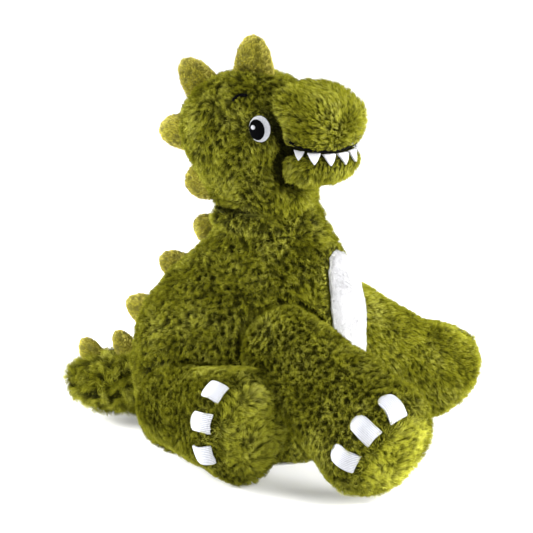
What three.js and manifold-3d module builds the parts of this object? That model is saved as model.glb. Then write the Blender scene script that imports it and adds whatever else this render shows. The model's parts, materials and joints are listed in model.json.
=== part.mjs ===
// A sitting plush dinosaur, taken apart as it is sewn: pile-fabric covers, their stuffing, felt spikes,
// embroidered eyes, brows and mouth, teeth, claw patches and soles.
// Millimetres. +Z is up, +X is forwards (where the muzzle points) and +Y is the animal's left.
// The origin is on the floor, under the middle of the seat.
import * as THREE from "three";
import { mergeVertices } from "three/addons/utils/BufferGeometryUtils.js";
import Module from "manifold-3d";

const wasm = await Module();
wasm.setup();

// ---- Driving dimensions ----

const FABRIC = 3; // thickness of a pile-fabric cover
const GAP = 0.5; // room between neighbouring pieces
const PATCH = 1.6; // thickness of an embroidered or sewn-on patch
const FAR = 1000; // reach of a cutting block

const NECK_PIVOT = new THREE.Vector3(25, 0, 208); // where the neck nods, at the gathered neck seam
const NECK_ROOT_RADIUS = 38; // rounded root of the neck, inside the top of the torso
const NECK_ROOM = 1.5; // room round it
const NECK_LEDGE = 12; // width of the neck cover's inner ledge
const TORSO_RIM = 198; // height of the torso's neck opening
const NECK_TOP = 213; // height of the plane on which the head turns
const MUZZLE_DROOP = 0.07; // how far the muzzle points down, as an angle

const TAIL_PIVOT = new THREE.Vector3(-84, 0, 42);
const TAIL_ROOT_RADIUS = 25;
const TAIL_LENGTH = 85; // from the pivot to the tip
const TAIL_OPENING = 12; // radius of the filling hole in the tail's root

const LEG_ROOT_RADIUS = 36; // rounded root of every leg
const LEG_OPENING = 16; // radius of the filling hole in a leg's root
const LEG_ROOM = 1; // room between a front leg and the hind leg that lies against it
const SOCKET_ROOM = 4; // room round a rounded root in its pocket
const SOLE_SEAM = 11; // distance of the seam round a sole from the end of the foot

// root: centre of the rounded root. foot: centre of the sole. top: the way the middle claw faces.
// thigh and sole: the leg's half-sizes there, across and towards the top.
const LEGS = {
  front_right: {
    root: [74, -57, 104], foot: [210, -113, 38], top: [0.02, -0.84, 0.54], thigh: [44, 37], sole: [53, 42],
  },
  front_left: {
    root: [74, 57, 101], foot: [137, 146, 31], top: [-0.2, 0.72, 0.66], thigh: [40, 31], sole: [51, 41],
  },
  hind_right: {
    root: [-24, -64, 44], foot: [84, -123, 51], top: [-0.5, -0.78, 0.22], thigh: [40, 38], sole: [51, 47],
  },
  hind_left: {
    root: [-24, 64, 44], foot: [37, 147, 51], top: [-0.78, 0.5, 0.22], thigh: [40, 38], sole: [51, 47],
  },
};

// ---- Materials ----

const fabric = (color, roughness = 0.9) => new THREE.MeshStandardMaterial({ color, roughness, metalness: 0 });
const PLUSH = fabric("#6e7a22");
const SOLE_PLUSH = fabric("#7f8a2c");
const SPIKE_FELT = fabric("#8a862c", 0.8);
const WHITE_PLUSH = fabric("#eceef0");
const WHITE_SATIN = fabric("#eef0f6", 0.5);
const BLACK_THREAD = fabric("#0c0c10", 0.45);
const FIBREFILL = fabric("#f4f4f0", 1);

// ---- Solids ----

const X = new THREE.Vector3(1, 0, 0);
const Y = new THREE.Vector3(0, 1, 0);
const Z = new THREE.Vector3(0, 0, 1);

// A closed three.js geometry as a solid that can be joined and cut.
function solid(geometry) {
  const bare = geometry.clone();
  bare.deleteAttribute("normal");
  bare.deleteAttribute("uv");
  const merged = mergeVertices(bare, 1e-3);
  return new wasm.Manifold(
    new wasm.Mesh({
      numProp: 3,
      vertProperties: merged.attributes.position.array,
      triVerts: new Uint32Array(merged.index.array),
    }),
  );
}

function geometryOf(body) {
  const { vertProperties, triVerts } = body.getMesh();
  const geometry = new THREE.BufferGeometry();
  geometry.setAttribute("position", new THREE.BufferAttribute(vertProperties, 3));
  geometry.setIndex(new THREE.BufferAttribute(triVerts, 1));
  geometry.computeVertexNormals();
  return geometry;
}

const joinAll = (bodies) => bodies.reduce((sum, body) => sum.add(body));
const cutAll = (body, cutters) => cutters.reduce((rest, cutter) => rest.subtract(cutter), body);

function ball(centre, radius, around = 20) {
  return solid(new THREE.SphereGeometry(radius, around, around / 2).translate(centre.x, centre.y, centre.z));
}

// A block that fills everything with low < (position along axis) < high.
function slab(axis, low, high) {
  const size = [FAR, FAR, FAR];
  size[axis] = high - low;
  const centre = [0, 0, 0];
  centre[axis] = (high + low) / 2;
  return solid(new THREE.BoxGeometry(...size).translate(...centre));
}

// A stuffed form: elliptical rings strung along an axis, with rounded ends.
// Each station is [distance along the axis, ring centre's offset, half-size across u, half-size across v].
// powers: how square the rings are on their -u side and +u side, and the ends. 2 is an ellipse.
class Form {
  constructor({ origin = [0, 0, 0], along = Z, u = X, stations, ends, around, rings, powers = [2, 2, 2] }) {
    const v = new THREE.Vector3().crossVectors(along, u);
    this.frame = new THREE.Matrix4().makeBasis(u, v, along).setPosition(...origin);
    this.rings = new THREE.CubicInterpolant(
      stations.map(([s]) => s),
      stations.flatMap(([, ...ring]) => ring),
      3,
    );
    this.low = stations[0][0];
    this.high = stations.at(-1)[0];
    this.ends = ends;
    this.powers = powers;
    this.counts = [around, rings];
  }

  // How much of its half-size a ring keeps at distance s, where an end rounds off.
  rounding(s) {
    const [lowCap, highCap] = this.ends;
    const power = this.powers[2];
    const past = Math.max((this.low + lowCap - s) / lowCap, (s - this.high + highCap) / highCap, 0);
    return Math.max(1 - past ** power, 0) ** (1 / power);
  }

  // The form's surface, moved outwards by grow, in its own frame's parent.
  geometry(grow = 0) {
    const geometry = new THREE.SphereGeometry(1, ...this.counts);
    const position = geometry.attributes.position;
    const point = new THREE.Vector3();
    for (let i = 0; i < position.count; i++) {
      point.fromBufferAttribute(position, i);
      const share = (1 - point.y) / 2;
      const s = THREE.MathUtils.lerp(this.low, this.high, share);
      const angle = Math.atan2(point.z, point.x);
      const cos = Math.cos(angle);
      const sin = Math.sin(angle);
      const power = this.powers[cos > 0 ? 1 : 0];
      const keep = this.rounding(s) / (Math.abs(cos) ** power + Math.abs(sin) ** power) ** (1 / power);
      const [offset, halfU, halfV] = this.rings.evaluate(s);
      point.set(
        offset + (halfU + grow) * keep * cos,
        (halfV + grow) * keep * sin,
        s + grow * (2 * share - 1),
      );
      position.setXYZ(i, point.x, point.y, point.z);
    }
    return geometry.applyMatrix4(this.frame);
  }

  solid(grow = 0) {
    return solid(this.geometry(grow));
  }
}

function mesh(name, body, material) {
  const made = new THREE.Mesh(geometryOf(body), material);
  made.name = name;
  return made;
}

// The layer of a form's skin that lies inside an outline pushed through it: a sewn-on patch.
function patch(form, outline, low = GAP, high = GAP + PATCH) {
  return outline.intersect(form.solid(high)).subtract(form.solid(low));
}

// A flat outline pushed along +Z of a frame, from near to far. Its x and y are the frame's.
function prism(shape, frame, near, far, curveSegments = 6) {
  const geometry = new THREE.ExtrudeGeometry(shape, { depth: far - near, bevelEnabled: false, curveSegments });
  return solid(geometry.translate(0, 0, near).applyMatrix4(frame));
}

function ellipseShape(halfX, halfY) {
  return new THREE.Shape().absellipse(0, 0, halfX, halfY, 0, 2 * Math.PI);
}

// A frame at a point whose +Z is the direction given and whose +Y is as close to up as it can be.
function facing(origin, direction, up = Z) {
  const z = new THREE.Vector3(...direction).normalize();
  const x = new THREE.Vector3().crossVectors(up, z).normalize();
  const y = new THREE.Vector3().crossVectors(z, x);
  return new THREE.Matrix4().makeBasis(x, y, z).setPosition(...origin);
}

// ---- Stuffed forms ----

const torsoForm = new Form({
  stations: [
    [-26, 5, 76, 60],
    [20, 5, 96, 73],
    [60, 5, 103, 78],
    [95, 8, 102, 77],
    [130, 16, 93, 70],
    [162, 27, 72, 58],
    [189, 31, 50, 45],
    [215, 27, 43, 41],
  ],
  ends: [30, 6],
  around: 24,
  rings: 14,
});

// The neck and the back of the head are one column.
const headForm = new Form({
  stations: [
    [190, 26, 42, 39],
    [206, 25, 43, 40],
    [228, 20, 46, 42],
    [250, 12, 55, 46],
    [275, 10, 61, 49],
    [300, 10, 60, 48],
    [327, 13, 53, 44],
  ],
  ends: [6, 44],
  around: 24,
  rings: 12,
  powers: [2, 3, 2],
});

const muzzleForm = new Form({
  along: new THREE.Vector3(Math.cos(MUZZLE_DROOP), 0, -Math.sin(MUZZLE_DROOP)),
  u: Y,
  origin: [0, 0, 294.5],
  stations: [
    [30, 0, 35, 25],
    [62, 0, 41, 28.5],
    [90, 0, 42, 27.5],
    [112, 0, 40, 26],
  ],
  ends: [10, 40],
  around: 20,
  rings: 9,
  powers: [2.8, 2.8, 2.5],
});

const jawForm = new Form({
  along: X,
  u: Y,
  origin: [0, 0, 256],
  stations: [
    [30, 0, 33, 21],
    [62, 0, 39, 22.5],
    [90, 0, 38, 21.5],
    [109, 0, 36, 21],
  ],
  ends: [10, 44],
  around: 20,
  rings: 8,
  powers: [2.6, 2.6, 2.3],
});

const tailForm = new Form({
  along: X.clone().negate(),
  u: Z,
  origin: TAIL_PIVOT.toArray(),
  stations: [
    [-TAIL_ROOT_RADIUS, 0, TAIL_ROOT_RADIUS, TAIL_ROOT_RADIUS],
    [0, 0, TAIL_ROOT_RADIUS, TAIL_ROOT_RADIUS],
    [30, -4, 25, 27],
    [60, -7, 22, 25],
    [TAIL_LENGTH, -8, 18, 20],
  ],
  ends: [TAIL_ROOT_RADIUS, 26],
  around: 16,
  rings: 10,
});

// A leg lies along its own +Z, from its root at the origin to the sole. Its +Y is the top of the foot.
function legForm(length, thigh, sole) {
  const shin = thigh.map((size, i) => THREE.MathUtils.lerp(size, sole[i], 0.6));
  return new Form({
    stations: [
      [-LEG_ROOT_RADIUS, 0, LEG_ROOT_RADIUS, LEG_ROOT_RADIUS],
      [0, 0, LEG_ROOT_RADIUS, LEG_ROOT_RADIUS],
      [0.35 * length, 0, ...thigh],
      [0.7 * length, 0, ...shin],
      [length, 0, ...sole],
    ],
    ends: [LEG_ROOT_RADIUS, 22],
    around: 16,
    rings: 9,
  });
}

for (const leg of Object.values(LEGS)) {
  const root = new THREE.Vector3(...leg.root);
  const along = new THREE.Vector3(...leg.foot).sub(root);
  leg.length = along.length();
  along.normalize();
  const across = new THREE.Vector3().crossVectors(new THREE.Vector3(...leg.top), along).normalize();
  const top = new THREE.Vector3().crossVectors(along, across);
  leg.frame = new THREE.Matrix4().makeBasis(across, top, along).setPosition(root);
  leg.form = legForm(leg.length, leg.thigh, leg.sole);
  leg.root = root;
}

// A leg's form in another leg's frame, or in the object's frame if none is given.
function legSolid(leg, grow, inFrame = new THREE.Matrix4()) {
  const move = inFrame.clone().invert().multiply(leg.frame);
  return solid(leg.form.geometry(grow).applyMatrix4(move));
}

// ---- Torso ----

const sockets = (extra) => [
  tailForm.solid(SOCKET_ROOM + extra),
  ...Object.values(LEGS).map((leg) => legSolid(leg, SOCKET_ROOM + extra)),
];
const neckSocket = (extra) => ball(NECK_PIVOT, NECK_ROOT_RADIUS + NECK_ROOM + extra);

function torso() {
  const outside = cutAll(torsoForm.solid().intersect(slab(2, 0, TORSO_RIM)), [...sockets(0), neckSocket(0)]);
  const hollow = cutAll(torsoForm.solid(-FABRIC).intersect(slab(2, FABRIC, FAR)), sockets(FABRIC));
  const filling = cutAll(
    torsoForm.solid(-FABRIC - GAP).intersect(slab(2, FABRIC + GAP, TORSO_RIM - FABRIC)),
    [...sockets(FABRIC + GAP), neckSocket(GAP)],
  );
  const group = new THREE.Group();
  group.add(
    mesh("torso_cover", outside.subtract(hollow), PLUSH),
    mesh("torso_stuffing", filling, FIBREFILL),
    mesh("belly_patch", bellyPatch(), WHITE_PLUSH),
  );
  return group;
}

// A tall oval of white pile on the chest, narrower at the top.
function bellyPatch() {
  const outline = new THREE.Shape()
    .moveTo(0, 52)
    .bezierCurveTo(-24, 52, -30, 0, -26, -16)
    .bezierCurveTo(-23, -48, -10, -54, 0, -54)
    .bezierCurveTo(10, -54, 23, -48, 26, -16)
    .bezierCurveTo(30, 0, 24, 52, 0, 52);
  const through = prism(outline, facing([0, 0, 126], [1, 0, 0]), 20, 200);
  return cutAll(patch(torsoForm, through), sockets(0));
}

// ---- Neck and head ----

function neck() {
  const root = (extra) => ball(NECK_PIVOT, NECK_ROOT_RADIUS - extra);
  const collar = (extra, low) => headForm.solid(-extra).intersect(slab(2, low, NECK_TOP - GAP / 2));
  const below = slab(2, -FAR, NECK_PIVOT.z + GAP);
  const outside = root(0).intersect(below).add(collar(0, NECK_PIVOT.z));
  const hollow = root(FABRIC).intersect(slab(2, -FAR, NECK_TOP)).add(collar(FABRIC, NECK_PIVOT.z + FABRIC));
  const open = headForm.solid(-FABRIC - NECK_LEDGE).intersect(slab(2, NECK_PIVOT.z, FAR));
  const filling = root(FABRIC + GAP).intersect(slab(2, -FAR, NECK_TOP - GAP / 2));
  const group = new THREE.Group();
  group.add(
    mesh("neck_cover", cutAll(outside, [hollow, open]), PLUSH),
    mesh("neck_stuffing", filling, FIBREFILL),
  );
  return group;
}

function headSolids() {
  const above = slab(2, NECK_TOP + GAP / 2, FAR);
  const inside = (inset) => joinAll([headForm.solid(-inset), muzzleForm.solid(-inset), jawForm.solid(-inset)]);
  const hollow = inside(FABRIC);
  return {
    head_cover: headForm.solid().intersect(above).subtract(hollow),
    muzzle_cover: cutAll(muzzleForm.solid(), [headForm.solid(GAP), hollow]),
    jaw_cover: cutAll(jawForm.solid(), [headForm.solid(GAP), muzzleForm.solid(GAP), hollow]),
    head_stuffing: inside(FABRIC + GAP).intersect(slab(2, NECK_TOP + GAP, FAR)),
  };
}

// Half-sizes of the white oval and the pupil. shift: the pupil's place in the white, towards the back.
const EYE = {
  at: [44, 46, 287], out: [0.36, 0.93, 0.05], lean: 0.2, white: [8.8, 10.8], pupil: [6.4, 8.7], shift: 2.2,
};
const HIGHLIGHT = { radius: 1.9, room: 0.5, right: 2.8, up: 2.5 };
const PUPIL_LIFT = GAP + PATCH + 0.3;

// An embroidered oval with a black pupil. The white shows through a hole in the pupil as its highlight.
function eye(side) {
  const [x, y, z] = EYE.at;
  const [outX, outY, outZ] = EYE.out;
  const frame = facing([x, side * y, z], [outX, side * outY, outZ]);
  const lean = new THREE.Matrix4().makeRotationZ(side * -EYE.lean);
  const leaning = frame.multiply(lean);
  const placed = (dx, dy) => leaning.clone().multiply(new THREE.Matrix4().makeTranslation(dx, dy, 0));
  const oval = (halfX, halfY, dx, dy, points) =>
    prism(ellipseShape(halfX, halfY), placed(dx, dy), -20, 20, points);
  const spot = (radius) => oval(radius, radius, side * (EYE.shift + HIGHLIGHT.right), HIGHLIGHT.up, 3);
  const white = patch(headForm, oval(...EYE.white, 0, 0, 8));
  const post = patch(headForm, spot(HIGHLIGHT.radius), GAP + PATCH / 2, PUPIL_LIFT + PATCH);
  const pupil = patch(headForm, oval(...EYE.pupil, side * EYE.shift, 0, 7), PUPIL_LIFT, PUPIL_LIFT + PATCH);
  const clear = muzzleForm.solid(GAP);
  const hole = spot(HIGHLIGHT.radius + HIGHLIGHT.room);
  return { white: white.add(post).subtract(clear), pupil: cutAll(pupil, [hole, clear]) };
}

// A short curved bar of stitching over the eye, between two arcs about one centre.
const BROW = {
  at: [21, 44, 315], out: [0.1, 0.9, 0.4], lean: 0.4, centre: -8, radii: [7, 9], span: [0.75, 2.5],
};

function brow(side) {
  const [x, y, z] = BROW.at;
  const [outX, outY, outZ] = BROW.out;
  const [inner, outer] = BROW.radii;
  const [low, high] = BROW.span;
  const outline = new THREE.Shape();
  outline.absarc(0, BROW.centre, outer, low, high, false);
  outline.absarc(0, BROW.centre, inner, high, low, true);
  outline.closePath();
  const frame = facing([x, side * y, z], [outX, side * outY, outZ]);
  const lean = new THREE.Matrix4().makeRotationZ(side * -BROW.lean);
  return patch(headForm, prism(outline, frame.multiply(lean), -25, 25, 4));
}

// The mouth runs round the front of the head, in the fold between muzzle and jaw, and turns up at its corners.
const MOUTH = { axis: 66, height: 269, corner: 1.5, lift: 9, cord: 1.7, proud: 1 };
const TEETH = { count: 9, corner: 1.3, width: 11, height: 9.5, thickness: 2.4, drop: 2.4 };

// Where a level line from the face's own axis leaves the muzzle or the jaw.
function faceSurface(angle, height) {
  const out = new THREE.Vector3(Math.cos(angle), Math.sin(angle), 0);
  const start = new THREE.Vector3(MOUTH.axis, 0, height).addScaledVector(out, 2 * MOUTH.axis);
  const faces = [muzzleForm, jawForm].map((form) => new THREE.Mesh(form.geometry()));
  const hits = new THREE.Raycaster(start, out.clone().negate()).intersectObjects(faces);
  return { at: hits[0].point, out };
}

const mouthHeight = (angle) => MOUTH.height + MOUTH.lift * (angle / MOUTH.corner) ** 4;

function mouthLine() {
  const steps = 22;
  const points = Array.from({ length: steps + 1 }, (_, i) => {
    const angle = THREE.MathUtils.lerp(-MOUTH.corner, MOUTH.corner, i / steps);
    const { at, out } = faceSurface(angle, mouthHeight(angle));
    return at.addScaledVector(out, MOUTH.proud);
  });
  const cord = new THREE.Shape().absarc(0, 0, MOUTH.cord, 0, 2 * Math.PI);
  const geometry = new THREE.ExtrudeGeometry(cord, {
    steps,
    extrudePath: new THREE.CatmullRomCurve3(points),
    curveSegments: 3,
  });
  return cutAll(solid(geometry), [muzzleForm.solid(GAP / 2), jawForm.solid(GAP / 2), headForm.solid(GAP)]);
}

// A tooth is sewn flat on the jaw, its wide end under the mouth line.
function tooth(index) {
  const angle = THREE.MathUtils.lerp(-TEETH.corner, TEETH.corner, index / (TEETH.count - 1));
  const { at, out } = faceSurface(angle, mouthHeight(angle));
  const half = TEETH.width / 2;
  const outline = new THREE.Shape()
    .moveTo(-half, 0)
    .quadraticCurveTo(-half / 2, -TEETH.height * 0.7, 0, -TEETH.height)
    .quadraticCurveTo(half / 2, -TEETH.height * 0.7, half, 0);
  const through = prism(outline, facing([at.x, at.y, at.z - TEETH.drop], out.toArray()), -20, 20, 2);
  return cutAll(patch(jawForm, through, GAP, GAP + TEETH.thickness), [muzzleForm.solid(GAP), mouthRoom]);
}

const mouth = mouthLine();
const mouthRoom = joinAll([-GAP, GAP, MOUTH.cord].map((rise) => mouth.translate(0, 0, rise)));

// ---- Spikes ----

// Each spike is a stuffed felt leaf. at and tip lie on the middle plane, as [x, z]. width is along the seam.
const SPIKES = [
  { at: [14, 320], tip: [14, 355], width: 37, on: "head" },
  { at: [-32, 303], tip: [-54, 328], width: 34, on: "head" },
  { at: [-49, 267], tip: [-76, 265], width: 32, on: "head" },
  { at: [-24, 229], tip: [-51, 220], width: 36, on: "head" },
  { at: [-17, 178], tip: [-43, 189], width: 32, on: "torso" },
  { at: [-47, 142], tip: [-77, 153], width: 31, on: "torso" },
  { at: [-83, 101], tip: [-110, 110], width: 31, on: "torso" },
  { at: [-106, 59], tip: [-122, 81], width: 24, on: "tail" },
  { at: [-141, 50], tip: [-156, 70], width: 25, on: "tail" },
];
const SPIKE_THICKNESS = 9;
const SPIKE_BEVEL = 3; // its rounded edge
const SPIKE_ROOT = 12; // how far a spike's outline runs into the form it is cut to fit

function spike(number, { at, tip, width, on }) {
  const [x, z] = at;
  const up = new THREE.Vector3(tip[0] - x, 0, tip[1] - z);
  const height = up.length();
  up.normalize();
  const half = width / 2;
  const leaf = new THREE.Shape()
    .moveTo(-half * 0.9, -SPIKE_ROOT)
    .bezierCurveTo(-half * 1.15, height * 0.55, -half * 0.5, height, 0, height)
    .bezierCurveTo(half * 0.5, height, half * 1.15, height * 0.55, half * 0.9, -SPIKE_ROOT);
  const geometry = new THREE.ExtrudeGeometry(leaf, {
    depth: SPIKE_THICKNESS - 2 * SPIKE_BEVEL,
    bevelThickness: SPIKE_BEVEL,
    bevelSize: SPIKE_BEVEL,
    bevelOffset: -SPIKE_BEVEL,
    bevelSegments: 1,
    curveSegments: 4,
  });
  geometry.translate(0, 0, SPIKE_BEVEL - SPIKE_THICKNESS / 2);
  const group = new THREE.Group();
  group.applyMatrix4(
    new THREE.Matrix4()
      .makeBasis(up.clone().cross(Y).negate(), up, Y.clone().negate())
      .setPosition(x, 0, z),
  );
  const toLocal = group.matrix.clone().invert();
  const forms = { head: [headForm, muzzleForm], torso: [torsoForm], tail: [tailForm, torsoForm] }[on];
  const room = forms.map((form) => solid(form.geometry(GAP).applyMatrix4(toLocal)));
  const body = cutAll(solid(geometry), room);
  group.add(mesh(`spike_${number}_${on}`, body, SPIKE_FELT));
  return group;
}

// ---- Tail ----

function tail() {
  const shell = tailForm.solid().subtract(tailForm.solid(-FABRIC));
  const opening = new THREE.CylinderGeometry(TAIL_OPENING, TAIL_OPENING, 20, 16)
    .rotateZ(Math.PI / 2)
    .translate(TAIL_PIVOT.x + TAIL_ROOT_RADIUS, 0, TAIL_PIVOT.z);
  const group = new THREE.Group();
  group.add(
    mesh("tail_cover", shell.subtract(solid(opening)), PLUSH),
    mesh("tail_stuffing", tailForm.solid(-FABRIC - GAP), FIBREFILL),
  );
  return group;
}

// ---- Legs ----

const CLAW = { width: 17, length: 25, spacing: 0.6, seamGap: 1.2 }; // spacing is an angle round the foot

// A claw patch: a tab with a round end, sewn into the sole's seam at its straight end.
function claw(form, length, index) {
  const half = CLAW.width / 2;
  const straight = CLAW.length - half;
  const outline = new THREE.Shape()
    .moveTo(-half, 0)
    .lineTo(-half * 0.95, straight)
    .absarc(0, straight, half * 0.95, Math.PI, 0, true)
    .lineTo(half, 0);
  const angle = Math.PI / 2 - index * CLAW.spacing;
  const out = new THREE.Vector3(Math.cos(angle), Math.sin(angle), 0);
  const seam = length - SOLE_SEAM - CLAW.seamGap;
  const [, halfU, halfV] = form.rings.evaluate(seam);
  const frame = facing([halfU * out.x, halfV * out.y, seam], out.toArray(), Z.clone().negate());
  return patch(form, prism(outline, frame, -14, 14, 4));
}

function leg(name, { root, frame, form, length }, neighbours) {
  const group = new THREE.Group();
  group.applyMatrix4(frame);
  const pressed = (body, extra) => cutAll(body, neighbours.map((other) => legSolid(other, extra, frame)));
  const shell = pressed(form.solid(), LEG_ROOM).subtract(pressed(form.solid(-FABRIC), LEG_ROOM + FABRIC));
  const opening = solid(
    new THREE.CylinderGeometry(LEG_OPENING, LEG_OPENING, 24, 16)
      .rotateX(Math.PI / 2)
      .translate(0, 0, -LEG_ROOT_RADIUS),
  );
  const seam = length - SOLE_SEAM;
  group.add(
    mesh(`${name}_leg_cover`, shell.intersect(slab(2, -FAR, seam - GAP / 2)).subtract(opening), PLUSH),
    mesh(`${name}_sole`, shell.intersect(slab(2, seam + GAP / 2, FAR)), SOLE_PLUSH),
    mesh(`${name}_leg_stuffing`, pressed(form.solid(-FABRIC - GAP), LEG_ROOM + FABRIC + GAP), FIBREFILL),
  );
  for (const index of [-1, 0, 1]) {
    const number = index + 2;
    group.add(mesh(`${name}_claw_${number}`, pressed(claw(form, length, index), GAP), WHITE_SATIN));
  }
  return group;
}

// ---- Assembly ----

function head() {
  const group = new THREE.Group();
  const { head_cover, muzzle_cover, jaw_cover, head_stuffing } = headSolids();
  group.add(
    mesh("head_cover", head_cover, PLUSH),
    mesh("muzzle_cover", muzzle_cover, PLUSH),
    mesh("jaw_cover", jaw_cover, PLUSH),
    mesh("head_stuffing", head_stuffing, FIBREFILL),
    mesh("mouth_line", mouth, BLACK_THREAD),
  );
  for (const [name, side] of [["right", -1], ["left", 1]]) {
    const { white, pupil } = eye(side);
    group.add(
      mesh(`${name}_eye_white`, white, WHITE_SATIN),
      mesh(`${name}_eye_pupil`, pupil, BLACK_THREAD),
      mesh(`${name}_brow`, brow(side), BLACK_THREAD),
    );
  }
  for (let index = 0; index < TEETH.count; index++) {
    group.add(mesh(`tooth_${index + 1}`, tooth(index), WHITE_SATIN));
  }
  return group;
}

const dinosaur = new THREE.Group();
dinosaur.add(torso(), neck(), head(), tail());
SPIKES.forEach((spec, index) => dinosaur.add(spike(index + 1, spec)));
dinosaur.add(
  leg("front_right", LEGS.front_right, []),
  leg("front_left", LEGS.front_left, []),
  leg("hind_right", LEGS.hind_right, [LEGS.front_right]),
  leg("hind_left", LEGS.hind_left, [LEGS.front_left]),
);

export default dinosaur;
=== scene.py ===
"""Looks of the sitting plush dinosaur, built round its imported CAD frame.

Each cover and its stuffing become one closed skin shaped into tufts, and a coat of pile grows from it.
Eyes, brows, mouth, teeth and claws are embroidery and felt with their threads modelled. Metres, +Z up.
"""

import json
import math

import bmesh
import bpy
import numpy as np
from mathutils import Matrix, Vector
from mathutils.bvhtree import BVHTree
from mathutils.kdtree import KDTree


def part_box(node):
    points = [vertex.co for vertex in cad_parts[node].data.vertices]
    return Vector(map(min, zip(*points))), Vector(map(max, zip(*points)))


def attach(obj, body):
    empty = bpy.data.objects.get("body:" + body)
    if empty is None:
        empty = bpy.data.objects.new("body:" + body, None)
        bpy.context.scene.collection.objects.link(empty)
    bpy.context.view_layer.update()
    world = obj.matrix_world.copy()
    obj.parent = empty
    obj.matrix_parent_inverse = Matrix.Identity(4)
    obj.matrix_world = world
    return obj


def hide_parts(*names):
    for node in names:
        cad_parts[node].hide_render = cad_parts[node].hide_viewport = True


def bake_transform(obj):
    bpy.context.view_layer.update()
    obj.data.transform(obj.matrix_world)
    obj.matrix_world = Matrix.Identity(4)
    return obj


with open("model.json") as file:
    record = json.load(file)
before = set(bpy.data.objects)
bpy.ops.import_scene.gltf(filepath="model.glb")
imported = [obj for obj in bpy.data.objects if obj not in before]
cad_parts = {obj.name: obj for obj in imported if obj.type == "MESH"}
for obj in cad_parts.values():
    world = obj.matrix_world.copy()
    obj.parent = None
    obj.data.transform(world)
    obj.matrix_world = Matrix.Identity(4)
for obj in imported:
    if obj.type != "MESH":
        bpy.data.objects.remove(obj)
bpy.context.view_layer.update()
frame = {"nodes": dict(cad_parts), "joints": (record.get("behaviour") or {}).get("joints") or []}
MM = 0.001
UP = np.array([0.0, 0.0, 1.0])


def frame_joint(name):
    return next(joint for joint in frame["joints"] if joint["name"] == name)


def joint_of(body):
    return next(joint for joint in frame["joints"] if joint["child"] == body)


# ---- Numbers over points ----


def smoothstep(low, high, value):
    t = np.clip((value - low) / (high - low), 0, 1)
    return t * t * (3 - 2 * t)


def unit(vectors):
    return vectors / np.maximum(np.linalg.norm(vectors, axis=-1, keepdims=True), 1e-12)


def dot(a, b):
    return (a * b).sum(-1, keepdims=True)


def tangential(vectors, normals):
    """The part of each vector that lies in the surface."""
    return vectors - normals * dot(vectors, normals)


def drift(points, wavelength, seed):
    """Smooth random vectors of about unit size."""
    rng = np.random.default_rng(seed)
    waves = unit(rng.normal(size=(7, 3))) * (2 * math.pi / wavelength)
    waves *= rng.uniform(0.7, 1.5, size=(7, 1))
    phases = rng.uniform(0, 2 * math.pi, size=(7, 3))
    out = np.zeros_like(points)
    for wave, phase in zip(waves, phases):
        out += np.sin((points @ wave)[:, None] + phase)
    return out / 2


ODDS = 101  # from the seed of the clumps' places to the seed of their random numbers


def cell_noise(cells, seed):
    """Three numbers from 0 to 1 for each whole-number cell."""
    c = cells.astype(np.int64)
    out = np.empty(cells.shape, float)
    for axis in range(3):
        h = c[:, 0] * 73856093 ^ c[:, 1] * 19349663 ^ c[:, 2] * 83492791 ^ (seed * 7 + axis) * 2654435761
        h = (h ^ (h >> 15)) * 2246822519 & 0xFFFFFFFF
        h = (h ^ (h >> 13)) * 3266489917 & 0xFFFFFFFF
        out[:, axis] = ((h ^ (h >> 16)) & 0xFFFFFF) / 0xFFFFFF
    return out


def clumps(points, size, seed):
    """For each point: its clump's centre, that clump's three random numbers, and the distance to its centre."""
    base = np.floor(points / size)
    best = np.full(len(points), np.inf)
    centre = np.zeros_like(points)
    owner = np.zeros_like(base)
    for step in np.ndindex(3, 3, 3):
        cells = base + np.array(step) - 1
        spot = (cells + cell_noise(cells, seed)) * size
        distance = ((points - spot) ** 2).sum(1)
        nearer = distance < best
        best[nearer] = distance[nearer]
        centre[nearer] = spot[nearer]
        owner[nearer] = cells[nearer]
    return centre, cell_noise(owner, seed + ODDS), np.sqrt(best)


# ---- Meshes ----


def link(name, data):
    obj = bpy.data.objects.new(name, data)
    bpy.context.scene.collection.objects.link(obj)
    return obj


def apply_modifiers(obj):
    graph = bpy.context.evaluated_depsgraph_get()
    mesh = bpy.data.meshes.new_from_object(obj.evaluated_get(graph), depsgraph=graph)
    obj.modifiers.clear()
    obj.data = mesh


def vertices(mesh):
    co = np.empty(len(mesh.vertices) * 3, np.float32)
    mesh.vertices.foreach_get("co", co)
    return co.reshape(-1, 3).astype(float)


def normals(mesh):
    no = np.empty(len(mesh.vertices) * 3, np.float32)
    mesh.vertex_normals.foreach_get("vector", no)
    return no.reshape(-1, 3).astype(float)


def set_vertices(mesh, co):
    mesh.vertices.foreach_set("co", co.astype(np.float32).ravel())
    mesh.update()


def set_attribute(mesh, name, values):
    mesh.attributes.new(name, "FLOAT", "POINT").data.foreach_set("value", values.astype(np.float32))


def set_material(mesh, material):
    mesh.materials.clear()
    mesh.materials.append(material)


def edges_of(mesh):
    edges = np.empty(len(mesh.edges) * 2, np.int32)
    mesh.edges.foreach_get("vertices", edges)
    return edges.reshape(-1, 2)


def relax(mesh, times, share=0.5):
    """Draws each vertex towards its neighbours."""
    edges, co = edges_of(mesh), vertices(mesh)
    ends, others = edges.ravel(), edges[:, ::-1].ravel()
    count = np.bincount(ends, minlength=len(co))[:, None]
    for _ in range(times):
        around = np.stack([np.bincount(ends, co[others, k], len(co)) for k in range(3)], 1)
        co += share * (around / count - co)
    set_vertices(mesh, co)


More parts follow.
